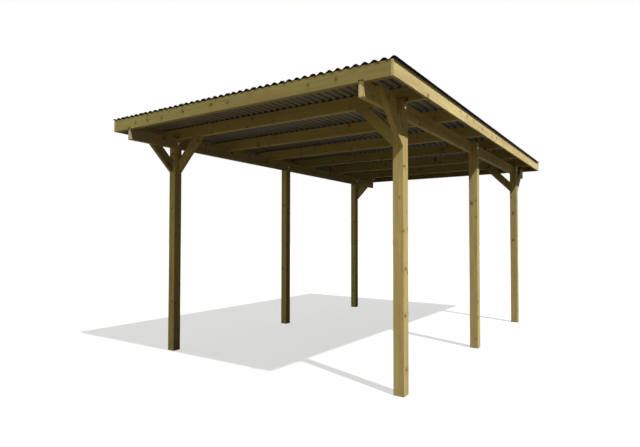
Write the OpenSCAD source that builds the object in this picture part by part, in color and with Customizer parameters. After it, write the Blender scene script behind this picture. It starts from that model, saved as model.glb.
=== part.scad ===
// Single timber carport: six square posts, two side beams, cross rafters with
// edge boards all round, knee braces at the corner posts and a nearly flat
// roof of corrugated sheets that falls to the back.
// X runs across the drive, Y from the front to the back, Z up from the ground.

/* [Posts] */
// Side of each square post
post_w = 90; // [80:5:120]
// Distance from one post to the next along a side
post_pitch = 1970; // [1200:10:2600]
// Width over the outer faces of the posts
frame_w = 2780; // [2000:10:4000]

/* [Roof] */
// Width over the side boards
roof_w = 3150; // [2600:10:4600]
// Length from the front board's face to the rear board's face
roof_l = 5180; // [4300:10:6600]
// Height of the top of the front board above the ground
front_h = 2425; // [2000:5:3000]
// Fall of the roof towards the back, in degrees
roof_fall = 0.6; // [0:0.1:3]
// Distance from the front board's face to the front posts
front_overhang = 555; // [450:5:900]

/* [Timber] */
// Thickness of the side beams
beam_t = 45; // [35:1:60]
// Height of the side beams
beam_h = 120; // [90:1:200]
// Set-back of the beams' ends from the faces of the front and rear boards
beam_end_gap = 8; // [0:1:15]
// Number of rafters
rafter_count = 6; // [3:1:10]
// Thickness of the rafters
rafter_t = 45; // [30:1:60]
// Height of the rafters and of the boards round the roof
rafter_h = 115; // [90:1:200]
// How deep the rafters and the end boards are notched over the beams
seat_depth = 15; // [5:1:40]
// Thickness of the front and rear boards
end_board_t = 45; // [20:1:60]
// Thickness of the side boards
side_board_t = 20; // [15:1:45]

/* [Braces] */
// Width of the knee braces
brace_w = 95; // [70:5:150]
// Thickness of the knee braces
brace_t = 45; // [30:1:60]
// Distance from the top of the rafters down to the foot of each brace
brace_drop = 480; // [400:5:700]

/* [Sheets] */
// Number of roof sheets side by side
sheet_count = 3; // [1:1:5]
// Width of one wave, adjusted to a whole number of waves across the roof
wave_pitch = 73; // [60:1:100]
// Height of the waves
wave_h = 18; // [10:1:30]
// Thickness of the sheets
sheet_t = 1.5; // [1:0.5:4]
// How far the sheets reach past the front and rear boards
sheet_end_overhang = 4; // [0:1:60]
// How far the sheets reach past the side boards
sheet_side_overhang = 20; // [0:1:30]

/* [Bolts] */
// Diameter of the bolts through posts and beams
bolt_d = 10; // [6:1:12]
// Clearance round the bolts in their holes
bolt_clearance = 1; // [0.5:0.5:2]
// Diameter of the domed bolt heads
bolt_head_d = 24; // [16:1:30]
// Height of the domed bolt heads
bolt_head_h = 6; // [3:1:10]
// Diameter of the washers
washer_d = 30; // [20:1:40]
// Thickness of the washers
washer_t = 2.5; // [1:0.5:4]
// Width of the nuts across their corners
nut_d = 19; // [12:1:24]
// Height of the nuts
nut_h = 8; // [5:1:12]
// How far the bolts stand out of their nuts
bolt_tip = 6; // [0:1:15]

/* [Hidden] */
SIDES = ["left", "right"];
ROWS = ["front", "middle", "rear"];
CORNER_ROWS = [0, 2];

timber = "darkkhaki";
dark_timber = "olivedrab";
sheet_grey = "dimgray";
zinc = "silver";
// Small extra reach, so that cuts pass right through
eps = 1;

// Waves: a whole number of them, with a crest above each side board's face
wave_count = round(roof_w / wave_pitch);
wave_w = roof_w / wave_count;
wave_steps = 12;
sheet_h = wave_h + sheet_t;

// The roof is centred over the origin, so the front edge lies this far forward
front_y = -(roof_l * cos(roof_fall) + sheet_h * sin(roof_fall)) / 2;

// Side beams: flush with the inner faces of the posts
beam_x = frame_w / 2 - post_w;
beam_top = -(rafter_h - seat_depth);
beam_bottom = beam_top - beam_h;
cheek_x = beam_x + beam_t;

// Rafters: the first stands on the rear half of the front posts, the last on the
// rear half of the rear posts
rafter_spacing = 2 * post_pitch / (rafter_count - 1);
rafter_half = roof_w / 2 - side_board_t;

// True for a rafter that stands on posts
function over_post(i) =
    len([for (row = [0:2]) if (abs((i - 1) * rafter_spacing - row * post_pitch) < post_w) row]) > 0;

// Level distance from the front edge to a post's front face
function post_y(row) = front_overhang + row * post_pitch;

// Mirrors the right-hand piece for the left-hand side
module on_side(side) {
    if (side == "left") mirror([1, 0, 0]) children();
    else children();
}

// Frame of the sloping roof: Y runs down the slope, Z = 0 is the rafters' top
module roof_frame() {
    translate([0, front_y, front_h])
        rotate([-roof_fall, 0, 0])
            children();
}

// Takes away all that stands higher than z in the roof frame
module cut_above(z) {
    difference() {
        children();
        roof_frame()
            translate([-roof_w / 2, 0, z])
                cube([roof_w, roof_l, front_h]);
    }
}

module at_bolt(row) {
    roof_frame()
        translate([frame_w / 2, (post_y(row) + post_w / 2) / cos(roof_fall), beam_top - beam_h / 2])
            rotate([0, -90, 0])
                children();
}

module bolt_hole(row) {
    at_bolt(row)
        translate([0, 0, -eps])
            cylinder(h = post_w + 2 * eps, d = bolt_d + bolt_clearance);
}

// Square post with its inner half cut away to carry the beam
module post(row) {
    color(timber)
        difference() {
            cut_above(beam_top)
                translate([beam_x, front_y + post_y(row), 0])
                    cube([post_w, post_w, front_h]);
            roof_frame()
                translate([beam_x - eps, post_y(row) - post_w, beam_bottom])
                    cube([beam_t + eps, 3 * post_w, beam_h + eps]);
            bolt_hole(row);
        }
}

// Side beam; its ends show in the notches of the front and rear boards
module beam() {
    color(timber)
        difference() {
            roof_frame()
                translate([beam_x, beam_end_gap, beam_bottom])
                    cube([beam_t, roof_l - 2 * beam_end_gap, beam_h]);
            for (row = [0:2]) bolt_hole(row);
        }
}

// Timber from one side board to the other, notched over the beams or over whole posts
module cross_bar(y, thick, seat_w) {
    color(timber)
        roof_frame()
            translate([0, y, 0])
                difference() {
                    translate([-rafter_half, 0, -rafter_h])
                        cube([2 * rafter_half, thick, rafter_h]);
                    for (side = SIDES)
                        on_side(side)
                            translate([beam_x, -eps, -rafter_h - eps])
                                cube([seat_w, thick + 2 * eps, seat_depth + eps]);
                }
}

module rafter(i) {
    y = front_overhang + post_w - rafter_t + (i - 1) * rafter_spacing;
    cross_bar(y / cos(roof_fall), rafter_t, over_post(i) ? post_w : beam_t);
}

module side_board() {
    color(timber)
        roof_frame()
            translate([rafter_half, 0, -rafter_h])
                cube([side_board_t, roof_l, rafter_h]);
}

// Outline of a knee brace at 45 degrees that rises from the post's face at x = 0,
// where its lower edge is at z = foot
module brace_outline(foot) {
    rise = front_h - foot;
    thick = brace_w * sqrt(2);
    polygon([[0, foot], [rise, foot + rise], [rise, foot + rise + thick], [0, foot + thick]]);
}

// Height of the rafters' top plane above the ground, at a level distance from the front
function roof_z(y) = front_h - y * tan(roof_fall);

// Brace along the side: from the post's front or rear face out towards the
// beam's end, flat against the beam's outer face
module long_brace(row) {
    ahead = (row == 0);
    face = post_y(row) + (ahead ? 0 : post_w);
    color(dark_timber)
        cut_above(beam_top)
            translate([cheek_x, front_y + face, 0])
                mirror([0, ahead ? 1 : 0, 0])
                    rotate([90, 0, 90])
                        linear_extrude(min(brace_t, post_w - beam_t))
                            brace_outline(roof_z(face) - brace_drop);
}

// Brace across the drive: from the post's inner face up to the rafter over the post
module cross_brace(row) {
    back = post_y(row) + post_w;
    color(dark_timber)
        cut_above(-rafter_h)
            translate([beam_x, front_y + back, 0])
                rotate([90, 0, 0])
                    mirror([1, 0, 0])
                        linear_extrude(brace_t)
                            brace_outline(roof_z(back) - brace_drop);
}

// Bolt through post and beam: domed head outside, washer and nut inside
module bolt(row) {
    sphere_r = (bolt_head_d * bolt_head_d / 4 + bolt_head_h * bolt_head_h) / (2 * bolt_head_h);
    color(zinc)
        at_bolt(row) {
            cylinder(h = post_w + washer_t + nut_h + bolt_tip, d = bolt_d);
            intersection() {
                translate([0, 0, sphere_r - bolt_head_h]) sphere(r = sphere_r, $fn = 48);
                translate([0, 0, -bolt_head_h]) cylinder(h = bolt_head_h, d = bolt_head_d + eps, $fn = 48);
            }
            translate([0, 0, post_w]) cylinder(h = washer_t, d = washer_d, $fn = 48);
            translate([0, 0, post_w + washer_t]) cylinder(h = nut_h, d = nut_d, $fn = 6);
        }
}

// Height of the sheets' underside above the rafters: full round crests, narrower valleys
function wave_z(x) = wave_h * pow((1 + cos(360 * (x + roof_w / 2) / wave_w)) / 2, 0.75);

// Corrugated sheet over the waves from one crest to another, with half a wave of
// lap at each inner edge; every second sheet lies on top of its neighbours
module roof_sheet(i) {
    first = round((i - 1) * wave_count / sheet_count);
    last = round(i * wave_count / sheet_count);
    x0 = (i == 1) ? -roof_w / 2 - sheet_side_overhang : -roof_w / 2 + (first - 0.5) * wave_w;
    x1 = (i == sheet_count) ? roof_w / 2 + sheet_side_overhang : -roof_w / 2 + (last + 0.5) * wave_w;
    step = wave_w / wave_steps;
    inner = [for (k = [-wave_steps:(wave_count + 1) * wave_steps])
        let (x = -roof_w / 2 + k * step) if (x > x0 + step / 4 && x < x1 - step / 4) x];
    xs = concat([x0], inner, [x1]);
    lift = (i % 2 == 0) ? sheet_t : 0;
    color(sheet_grey)
        roof_frame()
            translate([0, -sheet_end_overhang, lift])
                rotate([90, 0, 0])
                    mirror([0, 0, 1])
                        linear_extrude(roof_l + 2 * sheet_end_overhang)
                            polygon(concat(
                                [for (x = xs) [x, wave_z(x)]],
                                [for (k = [len(xs) - 1:-1:0]) [xs[k], wave_z(xs[k]) + sheet_t]]));
}

for (row = [0:2], side = SIDES) {
    on_side(side) post(row);
    on_side(side) bolt(row);
}
for (side = SIDES) {
    on_side(side) beam();
    on_side(side) side_board();
}
for (i = [1:rafter_count])
    rafter(i);
cross_bar(0, end_board_t, beam_t);  // front_board
cross_bar(roof_l - end_board_t, end_board_t, beam_t);  // rear_board
for (row = CORNER_ROWS, side = SIDES) {
    on_side(side) long_brace(row);
    on_side(side) cross_brace(row);
}
for (i = [1:sheet_count])
    roof_sheet(i);
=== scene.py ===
"""Looks of the timber carport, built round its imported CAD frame, in metres."""

import math
import random

import bmesh
import bpy
from mathutils import Matrix, Vector


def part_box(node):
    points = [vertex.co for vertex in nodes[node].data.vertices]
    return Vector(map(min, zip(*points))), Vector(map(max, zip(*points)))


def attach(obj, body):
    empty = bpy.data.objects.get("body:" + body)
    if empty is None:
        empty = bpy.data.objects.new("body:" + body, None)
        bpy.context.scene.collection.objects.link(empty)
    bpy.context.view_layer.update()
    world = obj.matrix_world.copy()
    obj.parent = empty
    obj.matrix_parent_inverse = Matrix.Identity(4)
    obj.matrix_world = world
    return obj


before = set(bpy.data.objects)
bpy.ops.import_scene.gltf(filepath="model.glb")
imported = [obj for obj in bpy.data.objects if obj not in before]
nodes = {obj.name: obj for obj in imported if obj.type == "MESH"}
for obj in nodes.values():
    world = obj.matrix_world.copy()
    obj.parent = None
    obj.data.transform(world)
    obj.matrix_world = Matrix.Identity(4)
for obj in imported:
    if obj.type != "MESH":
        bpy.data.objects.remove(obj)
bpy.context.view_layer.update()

# ---------------------------------------------------------------- measures
FALL = math.radians(0.6)  # fall of the roof towards the back
DOWN = Vector((0, math.cos(FALL), -math.sin(FALL)))  # down the slope
RISE = Vector((0, math.sin(FALL), math.cos(FALL)))  # square to the roof
DIAGONAL = math.sqrt(0.5)
EDGE = 0.0025  # rounding of the planed timbers' edges
WAVE = 0.073  # width of one wave of the sheets, before it is fitted to the roof
WAVE_RISE = 0.018  # height of the waves
SHEET = 0.0015  # thickness of the sheets

SIDES = {"left": -1, "right": 1}
WIDE = 2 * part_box("side_board_right")[1].x  # over the side boards
WAVES = round(WIDE / WAVE)
# the upper front edge of the front board, in the timbers' top plane
FRONT_TOP = Vector((0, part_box("front_board")[0].y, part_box("front_board")[1].z))
BAR_NAMES = ("front_board", "rear_board", "rafter")  # the timbers that lie across the roof
TIMBERS = [n for n in sorted(nodes) if not n.startswith(("roof_sheet", "bolt"))]
SHEETS = [n for n in sorted(nodes) if n.startswith("roof_sheet")]
BOLTS = [n for n in sorted(nodes) if n.startswith("bolt")]


def down_the_slope(name):
    """How far the middle of a node is down the slope from the front edge."""
    low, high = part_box(name)
    return ((low + high) / 2 - FRONT_TOP).dot(DOWN)


BARS = [down_the_slope(n) for n in sorted(nodes) if n.startswith(BAR_NAMES)]

# first seed of the timbers, and the seed of their screws
TIMBER_SEED, SCREW_SEED = 11, 7

# Sections of the timbers, across their grain; the first name that fits counts
SECTIONS = (
    ("post", (0.090, 0.090)),
    ("beam", (0.045, 0.120)),
    ("side_board", (0.020, 0.115)),
    (("long_brace", "cross_brace"), (0.045, 0.095)),
    (BAR_NAMES, (0.045, 0.115)),
)
# Tones of the timbers beside the posts, in red, green and blue; the first name counts
# painted light and shade in these tones besides the wood's own: the sunlit side boards lighter and
# bluer, the front rafters lighter than the rear ones, the left beam and the front left long brace
# darker and bluer
TONES_AND_PAINTED_LIGHT = (
    ("post", (1.0, 1.0, 1.0)),
    ("side_board", (1.16, 1.19, 1.31)),
    (("front_board", "rear_board"), (0.65, 0.665, 0.57)),
    (("rafter_1", "rafter_2", "rafter_3"), (1.12, 1.11, 0.98)),
    ("rafter", (0.92, 0.90, 0.84)),
    ("long_brace_front_left", (0.60, 0.62, 0.68)),
    (("long_brace", "cross_brace"), (0.90, 0.89, 0.86)),
    ("beam_left", (0.81, 0.83, 1.10)),
    ("beam_right", (1.04, 1.03, 0.98)),
)

# ---------------------------------------------------------------- colours
EARLY_WOOD, LATE_WOOD = (0.508, 0.408, 0.180), (0.320, 0.228, 0.084)
GREEN_TINT, WARM_TINT = (0.72, 0.86, 0.66), (1.08, 0.92, 0.72)
KNOT_DARK, KNOT_PALE = (0.115, 0.066, 0.024), (0.265, 0.155, 0.056)
KNOT_STAIN, KNOT_RIM = (0.300, 0.200, 0.070), (0.070, 0.036, 0.014)
CRACK = (0.060, 0.040, 0.018)
SAWN_EARLY, SAWN_LATE = (0.760, 0.640, 0.380), (0.480, 0.340, 0.150)
TREATED_TINT = (0.66, 0.74, 0.55)

SHEET_TOP, SHEET_TOP_DUSTY = (0.013, 0.012, 0.012), (0.036, 0.034, 0.032)
SHEET_BELOW, SHEET_BELOW_DUSTY = (0.205, 0.184, 0.136), (0.255, 0.228, 0.170)
# painted shade under the sheets: in the hollows under the crests, over and past the side boards, at
# the rim, and in bands over the timbers
SHEET_CREST_PAINTED_SHADE = (0.16, 0.16, 0.16)
SHEET_OVERHANG_PAINTED_SHADE, SHEET_RIM_PAINTED_SHADE = (0.100, 0.080, 0.082), (0.010, 0.009, 0.010)
OVER_BARS_PAINTED_SHADE = (0.010, 0.010, 0.010)

ZINC = ((0.40, 0.39, 0.36), (0.60, 0.59, 0.55))
STEEL = ((0.070, 0.060, 0.048), (0.170, 0.155, 0.130))
RUBBER = ((0.010, 0.010, 0.010), (0.040, 0.038, 0.036))

SKY_LOW, SKY_FRONT, SKY_BEHIND = (0.026, 0.026, 0.024), (0.80, 0.77, 0.58), (0.66, 0.67, 0.68)
GROUND_UNDER, GROUND_RIGHT = (0.024, 0.020, 0.012), (0.078, 0.065, 0.038)
GROUND_FRONT = (0.185, 0.158, 0.100)

# ---------------------------------------------------------------- grain of the pine
PITH_SWAY = 0.05  # how far the pith wanders
RING_WIDTH = (0.0034, 0.0068)
KNOT_PITCH = 0.27  # length of log to one knot
KNOT_TURN = 0.62  # knots to a radian round the log
KNOT_RADIUS = (0.004, 0.013)
KNOT_RAGGED = 0.005  # unevenness of a knot's outline
KNOT_HALO = 2.6  # reach of a knot's stain, in its own radii
TREATED = (0.014, 0.004)  # depths between which the treatment of a sawn end fades


# ---------------------------------------------------------------- node trees
class Tree:
    """Short calls for building a node tree."""

    def __init__(self, tree):
        self.tree = tree

    def add(self, kind, inputs=(), **settings):
        node = self.tree.nodes.new(kind)
        for key, value in settings.items():
            setattr(node, key, value)
        for key, value in dict(inputs).items():
            self.put(node.inputs[key], value)
        return node

    def put(self, socket, value):
        if isinstance(value, bpy.types.NodeSocket):
            self.tree.links.new(value, socket)
        else:
            socket.default_value = value

    def math(self, operation, *values):
        return self.add("ShaderNodeMath", enumerate(values), operation=operation).outputs[0]

    def plus(self, a, b):
        return self.math("ADD", a, b)

    def minus(self, a, b):
        return self.math("SUBTRACT", a, b)

    def over(self, a, b):
        return self.math("DIVIDE", a, b)

    def times(self, first, *others):
        for other in others:
            first = self.math("MULTIPLY", first, other)
        return first

    def absolute(self, value):
        return self.math("ABSOLUTE", value)

    def swing(self, value, width):
        """Turns 0..1 into a swing of that width about 0."""
        return self.times(self.minus(value, 0.5), width)

    def vec(self, operation, *values):
        node = self.add("ShaderNodeVectorMath", enumerate(values), operation=operation)
        return node.outputs["Value" if operation in ("DOT_PRODUCT", "LENGTH") else "Vector"]

    def scaled(self, vector, *scale):
        return self.vec("MULTIPLY", vector, scale)

    def combine(self, x, y, z):
        return self.add("ShaderNodeCombineXYZ", enumerate((x, y, z))).outputs[0]

    def separate(self, vector):
        return self.add("ShaderNodeSeparateXYZ", {0: vector}).outputs

    def object_spot(self):
        return self.add("ShaderNodeTexCoord").outputs["Object"]

    def normal(self):
        return self.add("ShaderNodeNewGeometry").outputs["Normal"]

    def noise(self, vector, detail=2.0, roughness=0.5, output="Fac"):
        inputs = {"Vector": vector, "Scale": 1.0, "Detail": detail, "Roughness": roughness}
        return self.add("ShaderNodeTexNoise", inputs).outputs[output]

    def step(self, value, low, high):
        """0 below low, 1 above high, smooth between; the other way round if low > high."""
        start, end = 0.0, 1.0
        if low > high:
            low, high, start, end = high, low, end, start
        inputs = {"Value": value, "From Min": low, "From Max": high, "To Min": start, "To Max": end}
        return self.add("ShaderNodeMapRange", inputs, interpolation_type="SMOOTHSTEP").outputs[0]

    def spread(self, value, low, high):
        """Stretches a value from 0..1 to low..high."""
        inputs = {"Value": value, "To Min": low, "To Max": high}
        return self.add("ShaderNodeMapRange", inputs).outputs[0]

    def mix(self, factor, a, b, blend="MIX"):
        node = self.add("ShaderNodeMix", data_type="RGBA", blend_type=blend)
        for index, value in ((0, factor), (6, a), (7, b)):
            if isinstance(value, tuple):
                value = (*value, 1.0)
            self.put(node.inputs[index], value)
        return node.outputs[2]

    def tint(self, color, by):
        return self.mix(1.0, color, by, "MULTIPLY")

    def dim(self, color, value):
        """Multiplies a colour by a plain value."""
        return self.tint(color, self.combine(value, value, value))

    def bump(self, height, strength, distance):
        inputs = {"Strength": strength, "Distance": distance, "Height": height}
        return self.add("ShaderNodeBump", inputs).outputs[0]

    def in_sight(self):
        """1 on rays that show a thing to the camera, 0 on those that only light it."""
        path = self.add("ShaderNodeLightPath").outputs
        mirrored = self.math("MAXIMUM", path["Is Glossy Ray"], path["Is Transmission Ray"])
        return self.math("MAXIMUM", path["Is Camera Ray"], mirrored)


def new_material(name, metallic=0.0, gloss=0.04):
    material = bpy.data.materials.new(name)
    material.use_nodes = True
    shader = material.node_tree.nodes["Principled BSDF"]
    shader.inputs["Metallic"].default_value = metallic
    shader.inputs["Specular IOR Level"].default_value = gloss
    return material, Tree(material.node_tree), shader


# ---------------------------------------------------------------- timber
def knots_in(t, u, off, radius, shifted, given):
    """Knots, one cell for each branch, by place along the log and angle round it."""
    _, off_v, off_w = t.separate(off)
    seed = given["Seed"]
    angle = t.math("ARCTAN2", off_w, off_v)
    cell_u = t.plus(t.over(u, KNOT_PITCH), t.times(seed, 3.7))
    cell_a = t.plus(t.times(angle, KNOT_TURN), t.times(seed, 1.3))
    inputs = {"Vector": t.combine(cell_u, cell_a, 0.0), "Scale": 1.0, "Randomness": 0.85}
    cells = t.add("ShaderNodeTexVoronoi", inputs, voronoi_dimensions="2D").outputs
    knot_u, knot_a, _ = t.separate(cells["Position"])
    chance, girth, tone = t.separate(cells["Color"])
    along = t.times(t.minus(cell_u, knot_u), KNOT_PITCH)
    around = t.times(t.over(t.minus(cell_a, knot_a), KNOT_TURN), radius)
    far = t.math("SQRT", t.plus(t.times(along, along), t.times(around, around)))
    size = t.spread(t.times(girth, girth), *KNOT_RADIUS)
    whole = t.step(t.absolute(angle), 3.0, 2.6)  # none across the angle's seam
    there = t.times(t.math("LESS_THAN", chance, given["Knots"]), whole)

    ragged = t.plus(far, t.swing(t.noise(t.scaled(shifted, 90.0, 90.0, 90.0)), KNOT_RAGGED))
    ratio = t.over(ragged, size)
    knot = t.times(t.step(ratio, 1.05, 0.85), there)
    rim = t.times(t.step(ratio, 1.25, 1.0), t.step(ratio, 0.75, 0.95), there)
    reach = t.over(far, t.times(size, KNOT_HALO))
    halo = t.times(t.math("EXPONENT", t.times(reach, reach, -1.0)), there)
    return knot, rim, halo, tone


def timber_group():
    """Sawn pine as a solid texture: rings round a pith, knots from it, fibres along it."""
    tree = bpy.data.node_groups.new("timber", "ShaderNodeTree")
    vectors = ("Place", "Pith", "Half", "Along", "Shade")
    for name in (*vectors, "Seed", "Green", "Knots", "Ends"):
        kind = "NodeSocketVector" if name in vectors else "NodeSocketFloat"
        tree.interface.new_socket(name, in_out="INPUT", socket_type=kind)
    for name, kind in (("Color", "Color"), ("Roughness", "Float"), ("Normal", "Vector")):
        tree.interface.new_socket(name, in_out="OUTPUT", socket_type="NodeSocket" + kind)
    t = Tree(tree)
    given = t.add("NodeGroupInput").outputs
    place, seed = given["Place"], given["Seed"]
    u, v, w = t.separate(place)  # along the grain and across it
    shifted = t.vec("ADD", place, t.combine(seed, t.times(seed, 1.7), 0.0))

    # the pith wanders a little along the log
    sway = t.noise(t.combine(t.times(u, 0.9), seed, 0.3), 1.0, output="Color")
    sway = t.scaled(t.vec("SUBTRACT", sway, (0.5, 0.5, 0.5)), 0.0, PITH_SWAY, PITH_SWAY)
    off = t.vec("ADD", t.vec("SUBTRACT", place, given["Pith"]), sway)
    off = t.scaled(off, 0.0, 1.0, 1.0)
    radius = t.vec("LENGTH", off)
    ripple = t.noise(t.scaled(shifted, 2.5, 22.0, 22.0))
    knot, rim, halo, tone = knots_in(t, u, off, radius, shifted, given)

    # rings: pale early wood and a darker, harder late wood line
    width = t.spread(t.noise(t.combine(t.times(radius, 45.0), seed, 0.0), 1.0), *RING_WIDTH)
    rippled = t.plus(radius, t.swing(ripple, 0.006))
    part = t.math("FRACT", t.over(t.plus(rippled, t.times(halo, 0.012)), width))
    late = t.times(t.step(part, 0.35, 0.9), t.step(part, 1.0, 0.93))
    streak = t.noise(t.scaled(shifted, 1.1, 70.0, 70.0), 3.0, 0.55)
    fibre = t.noise(t.scaled(shifted, 14.0, 900.0, 900.0))
    late = t.times(late, t.spread(streak, 0.35, 1.0))
    color = t.mix(t.times(late, 0.62), EARLY_WOOD, LATE_WOOD)
    color = t.dim(color, t.spread(streak, 0.72, 1.28))
    color = t.dim(color, t.spread(fibre, 0.90, 1.10))

    # broad patches: lighter and darker, greener from the treatment, warmer
    cloud = t.noise(t.scaled(shifted, 1.3, 7.0, 7.0), 2.0, 0.6)
    color = t.dim(color, t.spread(cloud, 0.62, 1.38))
    salts = t.times(t.step(cloud, 0.35, 0.75), given["Green"])
    color = t.mix(salts, color, t.tint(color, GREEN_TINT))
    warm = t.noise(t.scaled(shifted, 0.8, 12.0, 12.0), 1.0)
    color = t.mix(t.times(t.step(warm, 0.5, 0.8), 0.5), color, t.tint(color, WARM_TINT))

    # knots with a stain about them
    color = t.mix(t.times(halo, 0.6), color, KNOT_STAIN)
    heart = t.noise(t.scaled(shifted, 160.0, 160.0, 160.0), 1.0)
    core = t.mix(t.times(heart, t.spread(tone, 0.6, 1.6)), KNOT_DARK, KNOT_PALE)
    color = t.mix(knot, color, core)
    color = t.mix(t.times(rim, 0.6), color, KNOT_RIM)

    # hairline drying cracks along the fibres
    gap = t.absolute(t.minus(t.noise(t.scaled(shifted, 1.6, 42.0, 42.0), 1.0), 0.5))
    where = t.step(t.noise(t.scaled(shifted, 1.9, 5.0, 5.0), 0.0), 0.60, 0.68)
    crack = t.times(t.step(gap, 0.006, 0.001), where)
    color = t.mix(t.times(crack, 0.65), color, CRACK)

    # sawn ends: paler, with a rim that took up the treatment
    facing = t.absolute(t.vec("DOT_PRODUCT", t.normal(), given["Along"]))
    end = t.times(t.step(facing, 0.80, 0.95), given["Ends"])
    _, half_v, half_w = t.separate(given["Half"])
    deep_v, deep_w = t.minus(half_v, t.absolute(v)), t.minus(half_w, t.absolute(w))
    deep = t.plus(t.math("MINIMUM", deep_v, deep_w), t.swing(ripple, 0.02))
    sawn = t.mix(t.times(late, 0.8), SAWN_EARLY, SAWN_LATE)
    sawn = t.mix(t.step(deep, *TREATED), sawn, t.tint(sawn, TREATED_TINT))
    saw = t.noise(t.scaled(shifted, 0.0, 30.0, 900.0))
    sawn = t.dim(sawn, t.spread(saw, 0.88, 1.12))
    # each timber's tone, in which painted light and shade is set for some timbers
    color = t.tint(t.mix(end, color, sawn), given["Shade"])

    roughness = t.minus(t.spread(streak, 0.56, 0.74), t.times(knot, 0.18))
    height = t.plus(t.times(late, 0.35), t.times(fibre, 0.35))
    height = t.plus(height, t.times(knot, 0.5))
    height = t.plus(height, t.times(saw, end, 1.2))
    height = t.minus(height, t.times(crack, 2.0))
    result = t.add("NodeGroupOutput").inputs
    t.put(result["Color"], color)
    t.put(result["Roughness"], roughness)
    t.put(result["Normal"], t.bump(height, 0.5, 0.0008))
    return tree


TIMBER = timber_group()


def looked_up(name, table):
    """The value beside the first start of a name that fits."""
    return next(value for starts, value in table if name.startswith(starts))


def grain_of(name):
    """Unit vectors along the grain and across it, for a timber node."""
    if name.startswith("post"):
        return Vector((0, 0, 1)), Vector((1, 0, 0))
    if name.startswith(("beam", "side_board")):
        return DOWN, Vector((1, 0, 0))
    if name.startswith("long_brace"):
        lean = -DIAGONAL if "front" in name else DIAGONAL
        return Vector((0, lean, DIAGONAL)), Vector((1, 0, 0))
    if name.startswith("cross_brace"):
        lean = DIAGONAL if "left" in name else -DIAGONAL
        return Vector((lean, 0, DIAGONAL)), Vector((0, 1, 0))
    return Vector((1, 0, 0)), DOWN


def timber_material(name, seed):
    """One log for each timber: its own pith, knots and tone, with painted light and shade in the
    tone of some timbers.
    """
    chance = random.Random(seed)
    material, t, shader = new_material("pine_" + name)
    along, across = grain_of(name)
    axes = (along, across, along.cross(across))
    low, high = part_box(name)
    if name.startswith("post"):  # cut round the heart
        pith = (0.0, chance.uniform(-0.018, 0.018), chance.uniform(-0.018, 0.018))
    else:  # cut beside it, so that knots come out on the faces that show
        pith = (0.0, -chance.uniform(0.035, 0.075), chance.uniform(-0.04, 0.04))
    spot = t.vec("SUBTRACT", t.object_spot(), tuple((low + high) / 2))
    place = t.combine(*[t.vec("DOT_PRODUCT", spot, tuple(axis)) for axis in axes])
    values = {
        "Place": place,
        "Pith": pith,
        "Half": (0.0, *[size / 2 for size in looked_up(name, SECTIONS)]),
        "Along": tuple(along),
        "Seed": chance.uniform(0, 20),
        # the side boards take little of the green treatment tint, so they are paler: painted
        # sunlight
        "Green": chance.uniform(0.25, 0.9) * (0.2 if name.startswith("side_board") else 1.0),
        # tone, with painted light and shade for some timbers
        "Shade": Vector(looked_up(name, TONES_AND_PAINTED_LIGHT)) * chance.uniform(0.95, 1.05),
        "Knots": 1.0 if name.endswith("_board") else chance.uniform(0.55, 0.8),
        "Ends": 0.15 if "board" in name else 1.0,
    }
    group = t.add("ShaderNodeGroup", values, node_tree=TIMBER)
    for key in ("Color", "Roughness", "Normal"):
        t.put(shader.inputs["Base Color" if key == "Color" else key], group.outputs[key])
    return material


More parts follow.
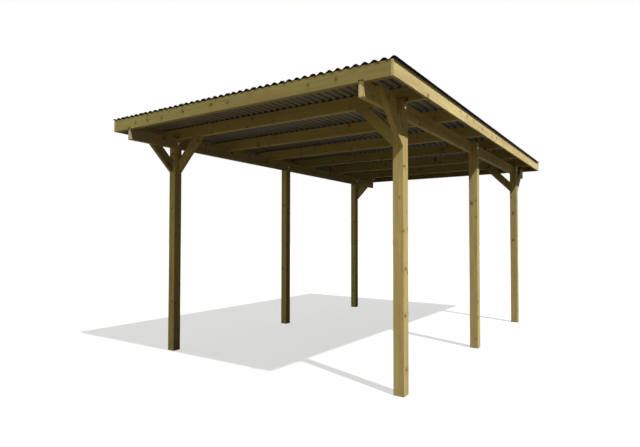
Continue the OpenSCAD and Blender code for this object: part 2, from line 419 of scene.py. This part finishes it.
# ---------------------------------------------------------------- other materials
def sheet_material():
    """Corrugated sheet: black outside, grey-brown underneath, with dust on both, and painted light
    and shade underneath.
    """
    material, t, shader = new_material("corrugated_sheet", gloss=0.1)
    spot = t.object_spot()
    x, y, _ = t.separate(spot)
    slope = t.vec("DOT_PRODUCT", t.vec("SUBTRACT", spot, tuple(FRONT_TOP)), tuple(DOWN))
    turn = t.times(t.plus(x, WIDE / 2), math.tau * WAVES / WIDE)
    crest = t.spread(t.math("COSINE", turn), 0.5, 1.0)  # 0.5 up to mid height, 1 on the crests
    dust = t.noise(t.scaled(spot, 6.0, 0.7, 6.0), 4.0, 0.6)
    grit = t.noise(t.scaled(spot, 420.0, 420.0, 420.0))
    top = t.mix(t.step(dust, 0.45, 0.8), SHEET_TOP, SHEET_TOP_DUSTY)
    below = t.mix(t.step(dust, 0.3, 0.75), SHEET_BELOW, SHEET_BELOW_DUSTY)

    # painted light: lighter towards the open front, towards the sunny side and past the right beam
    painted_falloff_to_back = t.spread(t.step(slope, 0.3, 2.4), 1.22, 0.74)
    painted_light_to_right = t.spread(t.step(x, -1.5, 1.5), 0.88, 1.22)
    painted_light_outside = t.spread(t.step(x, 1.30, 1.40), 1.0, 1.25)
    below = t.dim(below, t.times(painted_falloff_to_back, painted_light_to_right, painted_light_outside))

    # painted shade: darker in the hollows under the crests, but not in the outermost ones
    beside = t.absolute(x)
    inside = t.step(beside, WIDE / 2 - 0.020, WIDE / 2 - 0.030)
    painted_hollow_shade = t.times(t.step(crest, 0.35, 0.95), inside)
    below = t.mix(painted_hollow_shade, below, t.tint(below, SHEET_CREST_PAINTED_SHADE))

    # painted shade: black bands on the underside over each timber the sheets lie on, where the
    # hollows are dark
    gap = 10.0
    for along in BARS:
        gap = t.math("MINIMUM", gap, t.absolute(t.minus(slope, along)))
    below = t.mix(t.step(gap, 0.034, 0.026), below, OVER_BARS_PAINTED_SHADE)

    # painted shade over and past the side boards: darker there, and black at the rim
    below = t.mix(t.step(beside, WIDE / 2 - 0.022, WIDE / 2 - 0.019), below, SHEET_OVERHANG_PAINTED_SHADE)
    below = t.mix(t.step(beside, WIDE / 2 - 0.008, WIDE / 2 - 0.002), below, SHEET_RIM_PAINTED_SHADE)

    # the underside's looks stop short of the front and rear ends, which stay as black as the top:
    # painted shade in the hollows over the end boards
    low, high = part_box(SHEETS[0])
    half = (high.y - low.y) / 2
    off_middle = t.absolute(t.minus(y, (low.y + high.y) / 2))
    under = t.step(t.separate(t.normal())[2], -0.2, -0.5)
    under = t.times(under, t.step(off_middle, half - 0.050, half - 0.060))
    color = t.dim(t.mix(under, top, below), t.spread(grit, 0.85, 1.15))
    t.put(shader.inputs["Base Color"], color)
    t.put(shader.inputs["Roughness"], t.spread(dust, 0.42, 0.68))
    t.put(shader.inputs["Normal"], t.bump(grit, 0.25, 0.0006))
    return material


def mottled_material(name, metallic, gloss, colors, fine, contrast, matt):
    """A material between two colours and two roughnesses, by one noise."""
    material, t, shader = new_material(name, metallic, gloss)
    mottle = t.noise(t.scaled(t.object_spot(), fine, fine, fine), 3.0, contrast)
    t.put(shader.inputs["Base Color"], t.mix(mottle, *colors))
    t.put(shader.inputs["Roughness"], t.spread(mottle, *matt))
    return material


# ---------------------------------------------------------------- dressing the CAD nodes
def dress(name, material, rounding=0.0):
    node = nodes[name]
    node.data.materials.clear()
    node.data.materials.append(material)
    if rounding:
        weld = node.modifiers.new("weld", "WELD")
        weld.merge_threshold = 0.00001
        bevel = node.modifiers.new("arris", "BEVEL")
        bevel.width = rounding
        bevel.segments = 2
        bevel.limit_method = "ANGLE"
        bevel.angle_limit = math.radians(40)
        bevel.harden_normals = True


for number, name in enumerate(TIMBERS):
    dress(name, timber_material(name, TIMBER_SEED + number), EDGE)
sheet_look = sheet_material()
for name in SHEETS:
    dress(name, sheet_look)
zinc_look = mottled_material("zinc_plated", 0.9, 0.5, ZINC, 160.0, 0.6, (0.30, 0.52))
for name in BOLTS:
    dress(name, zinc_look)


# ---------------------------------------------------------------- screws
# (radius, height) pairs from the head down; the head is flush with the timber
SCREW = (
    (0, -0.0022), (0.0009, -0.0020), (0.0024, 0.0001),  # the drive
    (0.0046, 0.0003), (0.0049, 0.0), (0.0049, -0.0006),  # the countersunk head
    (0.0024, -0.0034), (0.0022, -0.02), (0, -0.021),  # a short shank
)
DRIVE = (1, 2)  # the pairs of SCREW that make the cross
DRIVE_WAIST = 0.42  # how far the cross is drawn in between its arms
CAP = (
    (0, 0.0085), (0.0035, 0.0080), (0.0065, 0.0062), (0.0082, 0.0036), (0.0086, 0.0016),  # dome
    (0.0100, 0.0012), (0.0102, -0.0004), (0.0085, -0.0010),  # sealing washer
    (0.0026, -0.0010), (0.0025, -0.032), (0, -0.034),  # shank, down into the timber
)
ROUND = 16  # sides of a turned shape
CAP_EVERY = 4  # crests from one roofing screw to the next

# Where the timber screws sit
BOARD_SCREWS = (-0.030, -0.085)  # up from the timbers' top plane, at each rafter and end board
LONG_BRACE_TOP = ((-0.075, -0.030), (-0.120, -0.045))  # out from the far end, up from the top
CROSS_BRACE_TOP = ((-0.045, -0.028), (-0.105, -0.022))
BRACE_FOOT = ((0.022, 0.062), (0.022, 0.105))  # out from the post, up from the foot


def lathe(bm, profile, matrix, recess=()):
    """Turns (radius, height) pairs about Z; the pairs in recess make a cross-shaped drive."""
    quarter = ROUND // 4
    rings = []
    for index, (radius, height) in enumerate(profile):
        if radius == 0:
            rings.append([bm.verts.new(matrix @ Vector((0, 0, height)))])
            continue
        ring = []
        for k in range(ROUND):
            turn = math.tau * (k + 0.5) / ROUND
            between_arms = index in recess and k % quarter not in (0, quarter - 1)
            r = radius * DRIVE_WAIST if between_arms else radius
            corner = Vector((r * math.cos(turn), r * math.sin(turn), height))
            ring.append(bm.verts.new(matrix @ corner))
        rings.append(ring)
    for low, high in zip(rings, rings[1:]):
        for k in range(ROUND):
            here, after = k, k + 1
            corners = [low[here % len(low)], low[after % len(low)]]
            corners += [high[after % len(high)], high[here % len(high)]]
            bm.faces.new(list(dict.fromkeys(corners)))


def placed(spot, out, turn=0.0):
    """Stands a screw at a spot with its head pointing out."""
    out = Vector(out).normalized()
    matrix = out.to_track_quat("Z", "Y").to_matrix() @ Matrix.Rotation(turn, 3, "Z")
    matrix = matrix.to_4x4()
    matrix.translation = spot
    return matrix


def new_piece(name, bm, material):
    bmesh.ops.recalc_face_normals(bm, faces=bm.faces)
    for face in bm.faces:
        face.smooth = True
    mesh = bpy.data.meshes.new(name)
    bm.to_mesh(mesh)
    bm.free()
    mesh.materials.append(material)
    piece = bpy.data.objects.new(name, mesh)
    bpy.context.scene.collection.objects.link(piece)
    split = piece.modifiers.new("crisp", "EDGE_SPLIT")
    split.split_angle = math.radians(38)
    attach(piece, "root")


def on_roof(x, along, up):
    """A spot by width, length down the slope and height over the timbers' top plane."""
    return Vector((x, 0, 0)) + FRONT_TOP + DOWN * along + RISE * up


def add_caps():
    """Roofing screws on every fourth crest over each rafter and end board."""
    bm = bmesh.new()
    lap_left, lap_right = (corner.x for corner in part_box("roof_sheet_2"))
    for along in BARS:
        for crest in range(2, WAVES, CAP_EVERY):
            x = -WIDE / 2 + crest * WIDE / WAVES
            layers = 2 if lap_left < x < lap_right else 1  # the middle sheet lies on top
            lathe(bm, CAP, placed(on_roof(x, along, WAVE_RISE + SHEET * layers), RISE))
    look = mottled_material("screw_caps", 0.0, 0.4, RUBBER, 90.0, 0.5, (0.35, 0.6))
    new_piece("roof_screws", bm, look)


def add_screws():
    """Countersunk screws in the side boards and the braces."""
    chance = random.Random(SCREW_SEED)
    bm = bmesh.new()

    def screw(spot, out):
        lathe(bm, SCREW, placed(spot, out, chance.uniform(0, 1.5)), DRIVE)

    for side in SIDES.values():
        for along in BARS:
            for up in BOARD_SCREWS:
                strayed = along + chance.uniform(-0.003, 0.003)
                screw(on_roof(side * WIDE / 2, strayed, up), (side, 0, 0))
    for row, ahead in (("front", -1), ("rear", 1)):
        for name, side in SIDES.items():
            # long brace: into the beam at the top, into the post at the foot
            low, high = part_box(f"long_brace_{row}_{name}")
            face = high.x if side > 0 else low.x
            post = high.y if ahead < 0 else low.y
            for out, up in LONG_BRACE_TOP:
                reach = high.y - low.y + out
                screw(Vector((face, post + ahead * reach, high.z + up)), (side, 0, 0))
            for out, up in BRACE_FOOT:
                screw(Vector((face, post + ahead * out, low.z + up)), (side, 0, 0))
            # cross brace: up into the rafter, and into the post
            low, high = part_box(f"cross_brace_{row}_{name}")
            post = high.x if side > 0 else low.x
            for face, y in ((-1, low.y), (1, high.y)):
                for out, up in CROSS_BRACE_TOP:
                    reach = high.x - low.x + out
                    screw(Vector((post - side * reach, y, high.z + up)), (0, face, 0))
                for out, up in BRACE_FOOT:
                    screw(Vector((post - side * out, y, low.z + up)), (0, face, 0))
    look = mottled_material("dark_steel", 0.6, 0.5, STEEL, 300.0, 0.5, (0.40, 0.62))
    new_piece("timber_screws", bm, look)


add_caps()
add_screws()


# ---------------------------------------------------------------- camera, light and floor
CAMERA_SPOT = (2.9566, -5.5103, 1.2371)
CAMERA_TURNS = (-34.042, 1.543, 0.065)  # yaw, pitch and roll, in degrees
CAMERA_LENS = 27.234  # in mm, on a sensor 36 mm wide
SUN_FROM = (0.53, -0.19, 0.82)
SUN_POWER = 5.8
FRONT_AXIS, BEHIND_AXIS = (-0.56, -0.82, -0.12), (-0.62, 0.70, 0.35)
FLOOR_HALF = 60
FLOOR_DROP = 0.0005  # keeps the floor clear of the posts' feet
FLOOR_PALE, FLOOR_GLOW = (0.28, 0.28, 0.28, 1), 0.62  # as the camera sees it


def add_camera():
    yaw, pitch, roll = (math.radians(angle) for angle in CAMERA_TURNS)
    level = Vector((math.sin(yaw), math.cos(yaw), 0))
    ahead = level * math.cos(pitch) + Vector((0, 0, math.sin(pitch)))
    right = Vector((math.cos(yaw), -math.sin(yaw), 0))
    up = right.cross(ahead)
    cos, sin = math.cos(roll), math.sin(roll)
    right, up = right * cos + up * sin, up * cos - right * sin
    matrix = Matrix((right, up, -ahead)).transposed().to_4x4()
    matrix.translation = CAMERA_SPOT
    data = bpy.data.cameras.new("camera")
    data.sensor_width = 36
    data.lens = CAMERA_LENS
    camera = bpy.data.objects.new("camera", data)
    camera.matrix_world = matrix
    bpy.context.scene.collection.objects.link(camera)
    bpy.context.scene.camera = camera


def add_sun():
    data = bpy.data.lights.new("sun", "SUN")
    data.energy = SUN_POWER
    data.angle = math.radians(1.5)
    data.color = (1.0, 0.985, 0.985)
    sun = bpy.data.objects.new("sun", data)
    sun.rotation_mode = "QUATERNION"
    sun.rotation_quaternion = Vector(SUN_FROM).to_track_quat("Z", "Y")
    bpy.context.scene.collection.objects.link(sun)


def add_world():
    """White to the camera and in reflections; else a soft sky, brighter in front and behind."""
    world = bpy.data.worlds.new("studio")
    bpy.context.scene.world = world
    world.use_nodes = True
    t = Tree(world.node_tree)
    toward = t.add("ShaderNodeTexCoord").outputs["Generated"]

    def lobe(axis):
        return t.math("POWER", t.math("MAXIMUM", t.vec("DOT_PRODUCT", toward, axis), 0.0), 1.3)

    soft = t.mix(lobe(FRONT_AXIS), SKY_LOW, SKY_FRONT)
    soft = t.mix(lobe(BEHIND_AXIS), soft, SKY_BEHIND, "ADD")
    background = world.node_tree.nodes["Background"]
    t.put(background.inputs["Color"], t.mix(t.in_sight(), soft, (1.0, 1.0, 1.0)))


def add_floor():
    """Pale with the shadow on it to the camera; a ground of its own for the light it throws up."""
    mesh = bpy.data.meshes.new("floor")
    bm = bmesh.new()
    bmesh.ops.create_grid(bm, x_segments=8, y_segments=8, size=FLOOR_HALF)
    bm.to_mesh(mesh)
    bm.free()
    floor = bpy.data.objects.new("floor", mesh)
    floor.location.z = -FLOOR_DROP
    bpy.context.scene.collection.objects.link(floor)
    material = bpy.data.materials.new("floor")
    material.use_nodes = True
    t = Tree(material.node_tree)
    material.node_tree.nodes.remove(material.node_tree.nodes["Principled BSDF"])

    # dark under the roof, lighter to the right of it, lightest in a strip in front
    across, length, _ = t.separate(t.object_spot())
    ground = t.mix(t.step(across, 1.1, 1.7), GROUND_UNDER, GROUND_RIGHT)
    strip = t.times(t.step(length, -1.9, -2.7), t.step(length, -6.0, -4.0))
    matte = t.add("ShaderNodeBsdfDiffuse", {"Color": t.mix(strip, ground, GROUND_FRONT)})

    pale = t.add("ShaderNodeBsdfDiffuse", {"Color": FLOOR_PALE})
    glow = t.add("ShaderNodeEmission", {"Color": (1, 1, 1, 1), "Strength": FLOOR_GLOW})
    bright = t.add("ShaderNodeAddShader", {0: pale.outputs[0], 1: glow.outputs[0]})
    shown = {0: t.in_sight(), 1: matte.outputs[0], 2: bright.outputs[0]}
    both = t.add("ShaderNodeMixShader", shown)
    t.put(material.node_tree.nodes["Material Output"].inputs["Surface"], both.outputs[0])
    mesh.materials.append(material)


add_camera()
add_sun()
add_world()
add_floor()
bpy.context.scene.view_settings.view_transform = "Standard"
